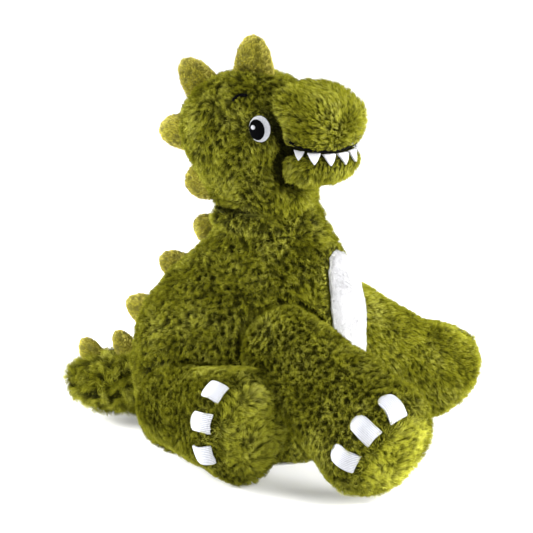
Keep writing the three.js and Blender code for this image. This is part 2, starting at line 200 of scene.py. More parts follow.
def keep_outer_shell(mesh):
    """Deletes all but the island that spans the most."""
    edges = edges_of(mesh)
    label = np.arange(len(mesh.vertices))
    while True:
        low = np.minimum(label[edges[:, 0]], label[edges[:, 1]])
        new = label.copy()
        np.minimum.at(new, edges[:, 0], low)
        np.minimum.at(new, edges[:, 1], low)
        new = new[new]
        if (new == label).all():
            break
        label = new
    co = vertices(mesh)
    islands = np.unique(label)
    if len(islands) == 1:
        return
    spans = [np.ptp(co[label == i], axis=0).sum() for i in islands]
    kept = islands[int(np.argmax(spans))]
    bm = bmesh.new()
    bm.from_mesh(mesh)
    bm.verts.ensure_lookup_table()
    bmesh.ops.delete(bm, geom=[bm.verts[i] for i in np.flatnonzero(label != kept)], context="VERTS")
    bm.to_mesh(mesh)
    bm.free()


def halved(mesh, plane):
    """Keeps the part of a closed mesh in front of a plane (point, normal), closed again."""
    bm = bmesh.new()
    bm.from_mesh(mesh)
    bmesh.ops.remove_doubles(bm, verts=bm.verts, dist=0.01 * MM)
    everything = bm.verts[:] + bm.edges[:] + bm.faces[:]
    point, normal = plane
    cut = bmesh.ops.bisect_plane(bm, geom=everything, plane_co=point, plane_no=normal, clear_inner=True)
    rim = [g for g in cut["geom_cut"] if isinstance(g, bmesh.types.BMEdge)]
    bmesh.ops.holes_fill(bm, edges=rim)
    bm.to_mesh(mesh)
    bm.free()


def wrap(name, nodes, voxel, plane=None, before=None):
    """One closed surface of small quads round the CAD nodes.

    plane halves the last node before wrapping. before is a function that moves the nodes' points.
    """
    joined = bmesh.new()
    for node in nodes:
        mesh = frame["nodes"][node].data.copy()
        if plane and node == nodes[-1]:
            halved(mesh, plane)
        joined.from_mesh(mesh)
        bpy.data.meshes.remove(mesh)
    mesh = bpy.data.meshes.new(name)
    joined.to_mesh(mesh)
    joined.free()
    if before:
        set_vertices(mesh, before(vertices(mesh)))
    obj = link(name, mesh)
    remesh = obj.modifiers.new("wrap", "REMESH")
    remesh.mode = "VOXEL"
    remesh.voxel_size = voxel
    apply_modifiers(obj)
    keep_outer_shell(obj.data)
    obj.data.shade_smooth()
    return obj


def tree_of(*nodes):
    points, faces = [], []
    for node in nodes:
        mesh = frame["nodes"][node].data
        offset = len(points)
        points += [v.co.copy() for v in mesh.vertices]
        faces += [[i + offset for i in p.vertices] for p in mesh.polygons]
    return BVHTree.FromPolygons(points, faces)


def nearest(tree, co, reach):
    """Distance from each point to the tree's surface, at most reach, and the way from there to the point."""
    distance = np.full(len(co), reach)
    away = np.zeros_like(co)
    for i, point in enumerate(co):
        spot, _, _, gap = tree.find_nearest(point, reach)
        if spot is not None:
            distance[i] = gap
            away[i] = point - np.array(spot)
    return distance, unit(away)


# ---- Materials ----


class Nodes:
    """A material's node tree, built one node at a time."""

    def __init__(self, name, roughness, sheen=0.0, specular=0.25):
        self.material = bpy.data.materials.new(name)
        self.material.use_nodes = True
        self.tree = self.material.node_tree
        self.shader = self.tree.nodes["Principled BSDF"]
        self.shader.inputs["Roughness"].default_value = roughness
        self.shader.inputs["Specular IOR Level"].default_value = specular
        self.shader.inputs["Sheen Weight"].default_value = sheen
        self.shader.inputs["Sheen Roughness"].default_value = 0.4
        self.place = self.add("ShaderNodeTexCoord").outputs["Object"]

    def add(self, kind, **settings):
        node = self.tree.nodes.new(kind)
        for key, value in settings.items():
            setattr(node, key, value)
        return node

    def plug(self, source, socket):
        if hasattr(source, "links"):
            self.tree.links.new(source, socket)
        else:
            socket.default_value = source

    def noise(self, size, detail=3.0):
        """Noise whose features are about size across."""
        node = self.add("ShaderNodeTexNoise")
        node.inputs["Scale"].default_value = 1 / size
        node.inputs["Detail"].default_value = detail
        self.plug(self.place, node.inputs["Vector"])
        return node.outputs["Fac"]

    def attribute(self, name):
        return self.add("ShaderNodeAttribute", attribute_name=name).outputs["Fac"]

    def maths(self, operation, *values):
        node = self.add("ShaderNodeMath", operation=operation)
        for value, socket in zip(values, node.inputs):
            self.plug(value, socket)
        return node.outputs[0]

    def weighted(self, *parts):
        """The sum of factors, each given with its weight."""
        total, *others = [self.maths("MULTIPLY", factor, weight) for factor, weight in parts]
        for other in others:
            total = self.maths("ADD", total, other)
        return total

    def ramp(self, factor, *stops):
        """Colours along a factor: each stop is (place, (r, g, b))."""
        node = self.add("ShaderNodeValToRGB")
        elements = node.color_ramp.elements
        while len(elements) < len(stops):
            elements.new(0.5)
        for element, (place, colour) in zip(elements, stops):
            element.position = place
            element.color = (*colour, 1)
        self.plug(factor, node.inputs["Fac"])
        return node.outputs["Color"]

    def product(self, a, b):
        """Two colours multiplied."""
        node = self.add("ShaderNodeMix", data_type="RGBA", blend_type="MULTIPLY")
        factor, first, second = (node.inputs[i] for i in (0, 6, 7))
        factor.default_value = 1.0
        self.plug(a, first)
        self.plug(b, second)
        return node.outputs[2]

    def bump(self, height, distance, strength=1.0):
        node = self.add("ShaderNodeBump")
        node.inputs["Strength"].default_value = strength
        node.inputs["Distance"].default_value = distance
        self.plug(height, node.inputs["Height"])
        self.plug(node.outputs[0], self.shader.inputs["Normal"])

    def colour(self, source):
        self.plug(source, self.shader.inputs["Base Color"])
        return self.material


PLUSH_SPECULAR = 0.07


def grey(value):
    return (value,) * 3


def pile_material(name, dark, mid, light, root, sheen=0.12):
    """Pile: uneven over the cover, from clump to clump and from strand to strand.

    root is how bright its roots are, as a share of its tips: painted shade deep in the pile.
    """
    n = Nodes(name, 0.6, sheen, PLUSH_SPECULAR)
    n.shader.inputs["Sheen Tint"].default_value = (*light, 1)
    strand = n.add("ShaderNodeHairInfo")
    broad = n.noise(30 * MM, 2.0)
    blend = n.weighted((broad, 0.62), (n.attribute("tint"), 0.14), (strand.outputs["Random"], 0.24))
    tone = n.ramp(blend, (0.15, dark), (0.5, mid), (0.85, light))
    halfway = 0.35 + 0.65 * root
    # Painted shade: each strand darkens towards its root, deep in the pile, and where its shade attribute is
    # low.
    depth = n.ramp(strand.outputs["Intercept"], (0.0, grey(root)), (0.45, grey(halfway)), (0.85, grey(1.0)))
    shade = n.ramp(n.attribute("shade"), (0.0, grey(0.0)), (1.0, grey(1.0)))
    return n.colour(n.product(n.product(tone, depth), shade))


def skin_material(name, dark, light):
    """The cover under its pile: painted shade in its hollows and creases, painted light on its tufts, uneven
    tone.
    """
    n = Nodes(name, 0.9, 0.2, PLUSH_SPECULAR)
    n.shader.inputs["Sheen Tint"].default_value = (*light, 1)
    pit = n.attribute("pit")
    broad = n.noise(26 * MM, 2.0)
    fine = n.noise(1.5 * MM, 3.0)
    uneven = n.weighted((broad, 0.25), (fine, 0.15))
    factor = n.weighted((pit, 0.6), (uneven, n.maths("ADD", pit, 0.4)))
    n.bump(fine, 0.5 * MM)
    return n.colour(n.ramp(factor, (0.1, dark), (0.75, light)))


def thread_material(name, dark, light, roughness=0.45, sheen=0.1, specular=0.12):
    """Stitching: parallel threads. The mesh's own "thread" attribute counts them."""
    n = Nodes(name, roughness, sheen, specular)
    wave = n.maths("SINE", n.maths("MULTIPLY", n.attribute("thread"), 2 * math.pi))
    ridge = n.weighted((wave, 0.35), (n.noise(1.3 * MM), 0.9))
    n.bump(ridge, 0.25 * MM, 0.8)
    # The colour follows the ridge: painted shade in the grooves between threads, mixed with random tone.
    return n.colour(n.ramp(ridge, (0.1, dark), (0.75, light)))


def felt_material(name, dark, light, size):
    """Short, brushed pile or felt."""
    n = Nodes(name, 0.85, 0.5)
    fluff = n.noise(size, 4.0)
    broad = n.noise(14 * MM, 2.0)
    factor = n.weighted((fluff, 0.6), (broad, 0.4))
    n.bump(fluff, 0.25 * MM, 0.7)
    return n.colour(n.ramp(factor, (0.3, dark), (0.7, light)))


# Each pile's root sets the painted shade at its strands' roots.
PILE = pile_material(
    "olive_pile", (0.12, 0.12, 0.002), (0.34, 0.34, 0.015), (0.85, 0.84, 0.16), root=0.02, sheen=0.2
)
SOLE_PILE = pile_material("sole_pile", (0.3, 0.3, 0.01), (0.57, 0.57, 0.05), (0.88, 0.86, 0.19), root=0.2)
SPIKE_PILE = pile_material(
    "spike_pile", (0.42, 0.38, 0.03), (0.54, 0.49, 0.05), (0.82, 0.735, 0.15), root=0.62
)
WHITE_PILE = pile_material("white_pile", (0.7, 0.7, 0.71), (0.73, 0.73, 0.74), (0.77, 0.77, 0.77), root=0.85)
# The skins' dark colours are painted shade in the hollows and creases under the pile.
SKIN = skin_material("olive_skin", (0.012, 0.013, 0.001), (0.118, 0.12, 0.01))
SOLE_SKIN = skin_material("sole_skin", (0.03, 0.031, 0.003), (0.2, 0.2, 0.028))
WHITE_SKIN = skin_material("white_skin", (0.62, 0.62, 0.64), (0.85, 0.85, 0.85))
SPIKE_FELT = felt_material("spike_felt", (0.12, 0.108, 0.008), (0.21, 0.192, 0.024), 1.6 * MM)
WHITE_THREAD = thread_material("white_thread", (0.32, 0.33, 0.38), (0.66, 0.67, 0.7))
WHITE_FELT = felt_material("white_felt", (0.5, 0.5, 0.53), (0.64, 0.64, 0.66), 0.9 * MM)
BLACK_THREAD = thread_material(
    "black_thread", (0.0003, 0.0003, 0.0004), (0.002, 0.002, 0.003), roughness=0.4, sheen=0.0, specular=0.02
)


# ---- Pile ----

HOLES = 50  # from a coat's own seed to the seed of its holes
SWIRL = 34 * MM  # how far apart the swirls in the brushed pile are
SWIRLS = 5  # the seed of those swirls
OFF_FLOOR = 0.2 * MM  # the least height of a skin
STRAND_POINTS = 5
STRAND_TAPER = np.array([1.0, 1.0, 1.0, 0.8, 0.4])


class Coat:
    """How pile grows on one skin. Lengths in metres, density in strands per square millimetre.

    sweep gives the way the pile is brushed, from points and normals: a vector longer than 1 is brushed flatter,
    with fewer holes. clump is a clump's size, and gather how much its tips draw together. lean is how far the
    pile lies over, and tuft how much the clumps differ in that. pits is how short the pile is in the small
    holes where it parts, which lie about spacing apart, and how much painted shade darkens it there and at the
    clumps' edges.
    """

    def __init__(self, material, length, sweep, density=2.3, clump=3.4 * MM, gather=0.6, radius=0.12 * MM,
                 lean=0.3, tuft=0.45, pits=0.9, spacing=5.5 * MM, seed=1):
        self.material = material
        self.length = length
        self.sweep = sweep
        self.density = density / 1
        self.clump = clump
        self.gather = gather
        self.radius = radius * 1
        self.lean = lean
        self.tuft = tuft
        self.pits = pits
        self.spacing = spacing
        self.seed = seed


def scatter(mesh, density, rng):
    """Even random spots on a mesh: a function that interpolates per-vertex values there, and their number."""
    mesh.calc_loop_triangles()
    corners = np.empty(len(mesh.loop_triangles) * 3, np.int32)
    mesh.loop_triangles.foreach_get("vertices", corners)
    corners = corners.reshape(-1, 3)
    a, b, c = (vertices(mesh)[corners[:, k]] for k in range(3))
    area = np.linalg.norm(np.cross(b - a, c - a), axis=1) / 2
    number = int(area.sum() / MM**2 * density)
    at = (np.arange(number) + rng.random(number)) / number * area.sum()
    face = np.minimum(np.searchsorted(np.cumsum(area), at), len(area) - 1)
    r1, r2 = np.sqrt(rng.random(number)), rng.random(number)
    weights = np.stack([1 - r1, r1 * (1 - r2), r1 * r2], 1)[..., None]
    return lambda values: (values[corners[face]] * weights).sum(1)


def strands(root, normal, aside, length, coat, rng):
    """The points of each strand, its clump's own random number, and its painted shade: dark in holes and at
    clump edges.

    normal, aside and length have one value for every root: the way out, the lean from what is near, the length.
    """
    number = len(root)
    centre, odds, distance = clumps(root, coat.clump, coat.seed)
    hole, chance, apart = clumps(root, coat.spacing, coat.seed + HOLES)
    brush = coat.sweep(root, normal)
    pits = coat.pits / np.maximum(1, np.linalg.norm(brush, axis=1))
    wide = 0.34 + 0.38 * chance[:, 0]
    between = (1 - smoothstep(0.35 * wide, wide, apart / coat.spacing)) * pits
    beside = (1 - smoothstep(wide, 1.6 * wide, apart / coat.spacing)) * pits
    groove = smoothstep(0.4, 0.75, distance / coat.clump) * pits * 0.45
    length = length * (0.85 + 0.2 * odds[:, 0] + 0.1 * rng.normal(size=number).clip(-1.5, 1.5))
    length = length * (1 - 0.65 * between)
    sweep = brush + 0.55 * drift(root, SWIRL, SWIRLS) + 2 * coat.tuft * (odds - 0.5)
    sweep = sweep + 0.2 * rng.normal(size=(number, 3))
    sweep = tangential(sweep, normal) * coat.lean + aside
    sweep = sweep + 0.35 * beside[:, None] * unit(tangential(root - hole, normal))
    to_centre = tangential(centre - root, normal)
    curl = tangential(rng.normal(size=(number, 3)), normal) * 0.12
    reach = length[:, None]
    stand = reach / np.sqrt(1 + dot(sweep, sweep))
    points = np.empty((number, STRAND_POINTS, 3))
    for k, t in enumerate(np.linspace(0, 1, STRAND_POINTS)):
        rise = normal * stand * (t - 0.22 * t * t)
        along = sweep * stand * (0.45 * t + 0.55 * t * t)
        points[:, k] = root + rise + along + curl * reach * t * t + to_centre * coat.gather * t**1.3
    floor = 0.3 * MM + 0.5 * MM * rng.random((number, 1))
    points[..., 2] = np.maximum(points[..., 2], floor)
    # The last value is painted shade: darker in the holes where the pile parts and at the clumps' edges.
    return points, odds[:, 1], (1 - between) * (1 - groove)


def grow(skin, coat, share, away, bodies, painted_highlight=None, painted_shade=None):
    """Grows pile on a skin.

    Each of these has one value for every vertex: share scales its length, away is added to its lean,
    painted_highlight is a painted highlight added to its tint, and painted_shade is painted shade that darkens
    it. bodies is a list of (body, function of the roots that says which ride on it).
    """
    rng = np.random.default_rng(coat.seed)
    over = scatter(skin.data, coat.density, rng)
    length = over(share[:, None])[:, 0] * coat.length
    kept = length > 0.7 * MM
    root, normal, aside = (over(v)[kept] for v in (vertices(skin.data), normals(skin.data), away))
    points, tint, shade = strands(root, unit(normal), aside, length[kept], coat, rng)
    # A painted highlight lightens the tint.
    if painted_highlight is not None:
        tint = tint + 2.5 * over(painted_highlight[:, None])[kept, 0]
    # Painted shade darkens the pile where it is given, in the seams' creases.
    if painted_shade is not None:
        shade = shade * (1 - over(painted_shade[:, None])[kept, 0])
    for body, belongs in bodies:
        mine = belongs(root)
        number = int(mine.sum())
        name = f"{skin.name}_pile_{body}"
        data = bpy.data.hair_curves.new(name)
        data.add_curves([STRAND_POINTS] * number)
        data.position_data.foreach_set("vector", points[mine].astype(np.float32).ravel())
        radius = data.attributes.get("radius") or data.attributes.new("radius", "FLOAT", "POINT")
        radius.data.foreach_set("value", np.tile(STRAND_TAPER * coat.radius, number).astype(np.float32))
        for key, values in (("tint", tint), ("shade", shade)):
            attribute = data.attributes.new(key, "FLOAT", "CURVE")
            attribute.data.foreach_set("value", values[mine].astype(np.float32))
        data.materials.append(coat.material)
        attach(link(name, data), body)


def everywhere(root):
    return np.ones(len(root), bool)


# ---- Skins ----

INSET = 3 * MM  # how far a skin lies inside its CAD cover, which leaves room for the pile
VOXEL = 1.6 * MM
TUFT = 5.5 * MM  # size of the tufts that the skin itself is shaped into
TUFTS = 80  # from a coat's own seed to the seed of these tufts


def in_relief(mesh, share, coat, height, painted_shade=0):
    """Shapes the skin as overlapping tufts that point the way the pile is brushed, and sinks it at the holes.

    share and painted_shade have one value for every vertex: how much of this there is, and how much painted
    shade darkens it in the creases. No tuft hangs below the skin's lowest point or touches the floor.
    """
    co, no = vertices(mesh), normals(mesh)
    lowest = max(co[:, 2].min(), OFF_FLOOR)
    way = unit(tangential(unit(coat.sweep(co, no)) + 0.5 * drift(co, SWIRL, SWIRLS), no))
    centre, odds, _ = clumps(co, TUFT, coat.seed + TUFTS)
    along = dot(co - centre, way)[:, 0] / TUFT
    _, _, apart = clumps(co, coat.spacing, coat.seed + HOLES)
    hole = 0.5 * coat.pits * (1 - smoothstep(0.1, 0.45, apart / coat.spacing))
    tuft = np.clip(0.5 + 0.8 * along, 0, 1) + 0.4 * (odds[:, 0] - 0.5)
    co += no * (share * height * (tuft - 0.55 - 0.6 * hole))[:, None]
    co[:, 2] = np.maximum(co[:, 2], lowest)
    set_vertices(mesh, co)
    # Painted light and shade from the relief: lighter on the tufts' raised ends, darker in the holes, some
    # random tone per tuft; painted shade darkens the creases.
    tone = np.clip(0.2 + 0.75 * tuft + 0.15 * (odds[:, 1] - 0.5) - 0.6 * hole, 0, 1)
    set_attribute(mesh, "pit", (0.3 + share * (tone - 0.3)) * (1 - painted_shade))


def flat_end(mesh, point, normal):
    """1 on the flat end of a piece that lies in a plane, and 0 elsewhere."""
    facing = np.abs(normals(mesh) @ normal)
    distance = np.abs((vertices(mesh) - point) @ normal)
    return smoothstep(0.8, 0.97, facing) * (1 - smoothstep(1 * MM, 2 * MM, distance))


def rim_of(mesh, end):
    """1 on the outer part of a flat end, 0 on its middle."""
    co = vertices(mesh)
    if not end.any():
        return end
    spread = np.linalg.norm(co - co[end > 0.5].mean(0), axis=1)
    return end * smoothstep(0.68, 0.76, spread / spread[end > 0.5].max())


def skin(obj, coat, material, bodies, patches=(), props=(), creases=None, end=None, inset=INSET, part=0.6,
         beside=0.7, sunk=0.0, relief=2.4 * MM):
    """Gives a wrapped cover its hollows, its pile and its relief.

    patches are the CAD nodes sewn flat on it: it rises to carry them and no pile grows under them. part is how
    far the pile leans away from them, beside is its length next to them, as a share, and sunk is how deep the
    skin lies under them.
    props are the CAD nodes that stand on it. creases(points) says how deep a seam pulls the skin in, from 0 to
    1. end (per vertex) is 1 on a flat end against the next piece, which stays in place and is bare in its
    middle. inset is how far the skin lies inside the CAD, and relief is the height of its tufts.
    """
    mesh = obj.data
    if end is None:
        end = np.zeros(len(mesh.vertices))
    relax(mesh, 5)
    co = vertices(mesh)
    reach = 14 * MM
    nothing = np.full(len(co), reach), 0 * co
    gap, away = nearest(tree_of(*patches), co, reach) if patches else nothing
    clear, aside = nearest(tree_of(*props), co, reach) if props else nothing
    carried = 1 - smoothstep(1.5 * MM, 9 * MM, gap)
    depth = creases(co) if creases else np.zeros(len(co))
    lumps = drift(co, 42 * MM, 8)[:, 0] * 0.9 * MM
    under = 1 - smoothstep(0.6 * MM, 1.4 * MM, gap)
    drawn_in = ((inset + lumps) * (1 - carried) + 6 * MM * depth + sunk * under) * (1 - end)
    bare = end - rim_of(mesh, end)
    set_vertices(mesh, co - normals(mesh) * drawn_in[:, None])
    relax(mesh, 3)
    share = smoothstep(0.4 * MM, 1.2 * MM, gap) * (1 - 0.72 * depth) * (1 - bare)
    share *= (beside + (1 - beside) * smoothstep(2 * MM, 9 * MM, gap)) * smoothstep(0, 1.5 * MM, clear)
    lean = away * (1 - smoothstep(2 * MM, 8 * MM, gap))[:, None] * part
    lean += aside * (1 - smoothstep(1 * MM, 5 * MM, clear))[:, None] * 0.7
    # Painted shade in the seams' creases: their depth darkens the pile here, and the skin's colour in
    # in_relief.
    grow(obj, coat, share, lean, bodies, painted_shade=0.95 * depth)
    in_relief(mesh, smoothstep(1 * MM, 4 * MM, gap) * (1 - end), coat, relief, 0.8 * depth)
    set_material(mesh, material)


def finish(obj, body, nodes):
    """Makes a piece ride on a body and stand for its CAD nodes."""
    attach(obj, body)
    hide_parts(*nodes)


def brushed(*direction):
    return lambda root, normal: np.tile(np.array(direction, float), (len(root), 1))


DOWN = brushed(0, 0, -1)
SPIKES = sorted(name for name in frame["nodes"] if name.startswith("spike_"))


def spikes_on(body):
    return [name for name in SPIKES if name.endswith("_" + body)]


def teeth():
    return [name for name in frame["nodes"] if name.startswith("tooth_")]


def gathering(co):
    """How deep the gathered neck seam draws the cover in, just under the head: most at the back and sides."""
    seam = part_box("head_cover")[0].z
    middle = frame_joint("neck_nod")["pos_m"][0]
    behind = 1 - smoothstep(-5 * MM, 30 * MM, co[:, 0] - middle)
    wave = 1.5 * MM * np.sin(70 * co[:, 1] + 1)
    return 0.8 * behind * (1 - smoothstep(1 * MM, 6 * MM, np.abs(co[:, 2] - seam - wave)))


def make_torso():
    nodes = ["torso_cover", "torso_stuffing"]
    obj = wrap("torso_skin", nodes, VOXEL)
    coat = Coat(PILE, 7.5 * MM, DOWN, pits=1.0, seed=11)
    skin(obj, coat, SKIN, [("torso", everywhere)], patches=["belly_patch"], props=spikes_on("torso"))
    finish(obj, "torso", nodes)


def make_neck():
    """The gathered ring of cover between torso and head. Its lower edge stays with the torso.

    Its upper edge is hollowed behind, where the head's lowest spike passes as the head turns.
    """
    nodes = ["neck_cover", "neck_stuffing"]
    pivot = Vector(frame_joint("neck_nod")["pos_m"])
    torso_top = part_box("torso_cover")[1].z
    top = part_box("head_cover")[0].z - 1.4 * MM
    obj = wrap("neck_skin", nodes, VOXEL)
    mesh = obj.data
    co = vertices(mesh)
    centre = np.array([pivot.x, pivot.y])
    flat = co[:, :2] - centre
    radius = np.linalg.norm(flat, axis=1)
    rise = np.clip((co[:, 2] - torso_top) / (top - torso_top), 0, 1)
    front = smoothstep(-0.2, 0.7, flat[:, 0] / np.maximum(radius, 1 * MM))
    behind = smoothstep(0.7, 0.84, -flat[:, 0] / np.maximum(radius, 1 * MM))
    full = 44.5 * MM - 3.5 * MM * rise + 1.0 * MM * np.sin(rise * math.pi) + 6 * MM * front * (1 - rise)
    full -= 5 * MM * behind * smoothstep(top - 7 * MM, top - 3 * MM, co[:, 2])
    ring = smoothstep(24 * MM, 34 * MM, radius) * smoothstep(torso_top - 6 * MM, torso_top, co[:, 2])
    wanted = radius + (full - radius) * ring
    co[:, :2] = centre + flat * (wanted / np.maximum(radius, 1 * MM))[:, None]
    co[:, 2] = np.minimum(co[:, 2], top)
    set_vertices(mesh, co)
    end = flat_end(mesh, np.array([0, 0, top]), UP)
    split = torso_top + 4 * MM
    bodies = [("torso", lambda root: root[:, 2] < split), ("neck", lambda root: root[:, 2] >= split)]
    coat = Coat(PILE, 7 * MM, DOWN, seed=12)
    skin(obj, coat, SKIN, bodies, creases=gathering, end=end, inset=1.3 * MM, relief=0.9 * MM)
    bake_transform(obj)
    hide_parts(*nodes)


def make_head():
    covers = ["head_cover", "muzzle_cover", "jaw_cover"]
    patches = ["mouth_line"] + teeth()
    for side in ("right", "left"):
        patches += [f"{side}_eye_white", f"{side}_eye_pupil", f"{side}_brow"]
    trees = [tree_of(cover) for cover in covers]
    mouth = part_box("mouth_line")[0].z
    side_seam = sum(corner.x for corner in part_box("head_cover")) / 2 - 6 * MM
    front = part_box("muzzle_cover")[0].x + 12 * MM

    def seams(co):
        gaps = np.sort(np.stack([nearest(tree, co, 10 * MM)[0] for tree in trees]), axis=0)
        high = smoothstep(mouth + 22 * MM, mouth + 44 * MM, co[:, 2])
        round_the_snout = (1 - 0.8 * high) * (1 - smoothstep(2 * MM, 7.5 * MM, gaps[1]))
        bend = side_seam + 4 * MM * np.sin(55 * co[:, 2])
        down = smoothstep(mouth, mouth + 25 * MM, co[:, 2]) * smoothstep(15 * MM, 25 * MM, np.abs(co[:, 1]))
        at_the_side = 0.55 * down * (1 - smoothstep(0.5 * MM, 4 * MM, np.abs(co[:, 0] - bend)))
        return np.maximum.reduce([round_the_snout, at_the_side, gathering(co)])

    def sweep(root, normal):
        on_face = smoothstep(front - 6 * MM, front + 6 * MM, root[:, 0])[:, None]
        low = 1 - smoothstep(mouth - 6 * MM, mouth + 6 * MM, root[:, 2])[:, None]
        face = np.array([-0.9, 0.0, 0.25]) * (1 - low) + np.array([-0.5, 0.0, -0.8]) * low
        return DOWN(root, normal) * 0.8 * (1 - on_face) + face * 2.2 * on_face

    nodes = covers + ["head_stuffing"]
    obj = wrap("head_skin", nodes, VOXEL)
    end = flat_end(obj.data, np.array([0, 0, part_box("head_cover")[0].z]), UP)
    coat = Coat(PILE, 7.5 * MM, sweep, lean=0.5, gather=0.7, pits=0.8, seed=13)
    skin(obj, coat, SKIN, [("head", everywhere)], patches, spikes_on("head"), creases=seams, end=end, part=0.1)
    finish(obj, "head", nodes)


def make_tail():
    nodes = ["tail_cover", "tail_stuffing"]
    obj = wrap("tail_skin", nodes, VOXEL)
    back = brushed(-0.9, 0, -0.2)
    coat = Coat(PILE, 12.5 * MM, back, lean=0.6, tuft=1.8, clump=6 * MM, gather=0.85, seed=14)
    skin(obj, coat, SKIN, [("tail", everywhere)], props=spikes_on("tail"))
    finish(obj, "tail", nodes)


# Each leg and how flat its pile is brushed.
LEGS = [("front_right", 1.15), ("front_left", 2.0), ("hind_right", 1.4), ("hind_left", 1.4)]
UNDER_CLAWS = 1.2 * MM  # how deep the skin lies under the claws


def claws_of(leg):
    return [f"{leg}_claw_{i}" for i in (1, 2, 3)]


def make_leg(leg, seed, calm):
    """A leg in two skins that meet at the sole's seam. calm is how flat the leg's pile is brushed."""
    body = leg + "_leg"
    hip = np.array(joint_of(body)["pos_m"])
    sole_points = vertices(frame["nodes"][leg + "_sole"].data)
    along = unit(sole_points.mean(0) - hip)
    point = hip + along * ((sole_points - hip) @ along).min()
    claws = claws_of(leg)
    bodies = [(body, everywhere)]

    nodes = [body + "_cover", body + "_stuffing"]
    obj = wrap(body + "_skin", nodes, VOXEL, plane=(point, -along))
    coat = Coat(PILE, 7.5 * MM, brushed(*(calm * along)), seed=seed)
    end = flat_end(obj.data, point, along)
    skin(obj, coat, SKIN, bodies, claws, end=end, part=-0.15, beside=0.85, sunk=UNDER_CLAWS)
    finish(obj, body, nodes)

    sole = wrap(leg + "_sole_skin", [leg + "_sole", body + "_stuffing"], VOXEL, plane=(point, along))
    side = unit(np.cross(UP, along))
    coat = Coat(SOLE_PILE, 8 * MM, brushed(*(0.7 * side - 0.6 * along + 0.2 * UP)), lean=0.8, tuft=0.6,
                clump=4.2 * MM, gather=0.8, pits=0.45, seed=seed + 10)
    end = flat_end(sole.data, point, along)
    skin(sole, coat, SOLE_SKIN, bodies, claws, end=end, part=-0.55, beside=1.3, sunk=UNDER_CLAWS)
    finish(sole, body, [leg + "_sole"])


# ---- What is sewn on ----


def make_belly():
    """The white patch: its pile lies flat, and is shorter towards its sides."""
    obj = wrap("belly_patch_skin", ["belly_patch"], 0.75 * MM)
    mesh = obj.data
    relax(mesh, 4)
    outer = smoothstep(0.1, 0.5, normals(mesh)[:, 0])
    edge_gap = nearest(tree_of("torso_cover"), vertices(mesh), 5 * MM)[0]
    coat = Coat(WHITE_PILE, 4.5 * MM, brushed(0, 0, -3), density=3.2, lean=0.35, tuft=0.4, clump=4 * MM,
                gather=0.2, radius=0.14 * MM, pits=0.05, seed=31)
    half_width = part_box("belly_patch")[1].y
    spread = np.abs(vertices(mesh)[:, 1]) / half_width
    share = outer * (1 - 0.5 * smoothstep(0.75, 1, spread))
    grow(obj, coat, share, np.zeros((len(mesh.vertices), 3)), [("torso", everywhere)])
    in_relief(mesh, outer * smoothstep(0.8 * MM, 1.6 * MM, edge_gap), coat, height=0.7 * MM)
    set_material(mesh, WHITE_SKIN)
    finish(obj, "torso", ["belly_patch"])


def make_spike(node, body, covers):
    """A puffed leaf with a seam round its edge, its root sunk in the covers, but never below them."""
    ground = tree_of(*covers)
    lowest = min(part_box(cover)[0].z for cover in covers)

    def height(co):
        return nearest(ground, co, 60 * MM)[0]

    def rooted(co):
        gap = height(co)
        base = gap < 1.3 * MM
        up = unit(co[gap.argmax()] - co[base].mean(0))
        co[base & (co[:, 2] > lowest)] -= up * 6 * MM
        return co

    obj = wrap(node + "_skin", [node], 1.0 * MM, before=rooted)
    mesh = obj.data
    relax(mesh, 3)
    co = vertices(mesh)
    rim = np.flatnonzero(np.abs(co[:, 1]) < 1.2 * MM)
    tree = KDTree(len(rim))
    for i in rim:
        tree.insert(Vector((co[i, 0], 0, co[i, 2])), int(i))
    tree.balance()
    inward = np.array([tree.find(Vector((x, 0, z)))[2] for x, _, z in co])
    co[:, 1] *= 0.75 + 0.6 * smoothstep(0, 11 * MM, inward)
    no = normals(mesh)
    y = np.abs(co[:, 1])
    edge = smoothstep(0.3, 0.7, 1 - np.abs(no[:, 1]))
    groove = edge * (0.5 * smoothstep(0.6 * MM, 1.8 * MM, y) * (1 - smoothstep(2.2 * MM, 4 * MM, y)) + 0.1)
    # Painted highlight: the pile near the spike's rim is tinted lighter, as where light catches the edge.
    painted_highlight = 0.8 * (1 - smoothstep(2 * MM, 6 * MM, inward))
    set_vertices(mesh, co + no * (groove * 1.2 * MM + 0.5 * MM)[:, None])
    set_material(mesh, SPIKE_FELT)
    up = brushed(*unit(co[height(co).argmax()] - co.mean(0)))
    coat = Coat(SPIKE_PILE, 2.2 * MM, up, density=3.2, clump=2.0 * MM, gather=0.4, radius=0.1 * MM, lean=0.9,
                tuft=0.9, pits=0.55, seed=40)
    grow(obj, coat, np.ones(len(co)), 0 * co, [(body, everywhere)], painted_highlight)
    finish(obj, body, [node])


def without_folds(co, no, outwards, dome):
    """Moves a thin patch's points so that its outer side is one smooth curved surface, domed in the middle."""
    middle = co.mean(0)
    _, _, axes = np.linalg.svd(co - middle, full_matrices=False)
    face = axes[2] * np.sign(outwards @ axes[2])
    u = unit(np.cross(face, UP + 0.01))
    v = np.cross(face, u)
    across_u, across_v, height = (co - middle) @ u, (co - middle) @ v, (co - middle) @ face
    terms = [np.ones(len(co)), across_u, across_v, across_u**2, across_u * across_v, across_v**2]
    form = np.stack(terms, 1)
    outer = np.flatnonzero(no @ face > 0.5)
    fit = form @ np.linalg.lstsq(form[outer], height[outer], rcond=None)[0]
    tree = KDTree(len(outer))
    for i in outer:
        tree.insert(Vector((across_u[i], across_v[i], 0)), int(i))
    tree.balance()
    above = np.array([tree.find(Vector((a, b, 0)))[1] for a, b in zip(across_u, across_v)])
    spread = np.hypot(across_u, across_v)
    bulge = dome * (1 - np.clip(spread / spread.max(), 0, 1) ** 2)
    return co + face * (fit - height[above] + bulge)[:, None]


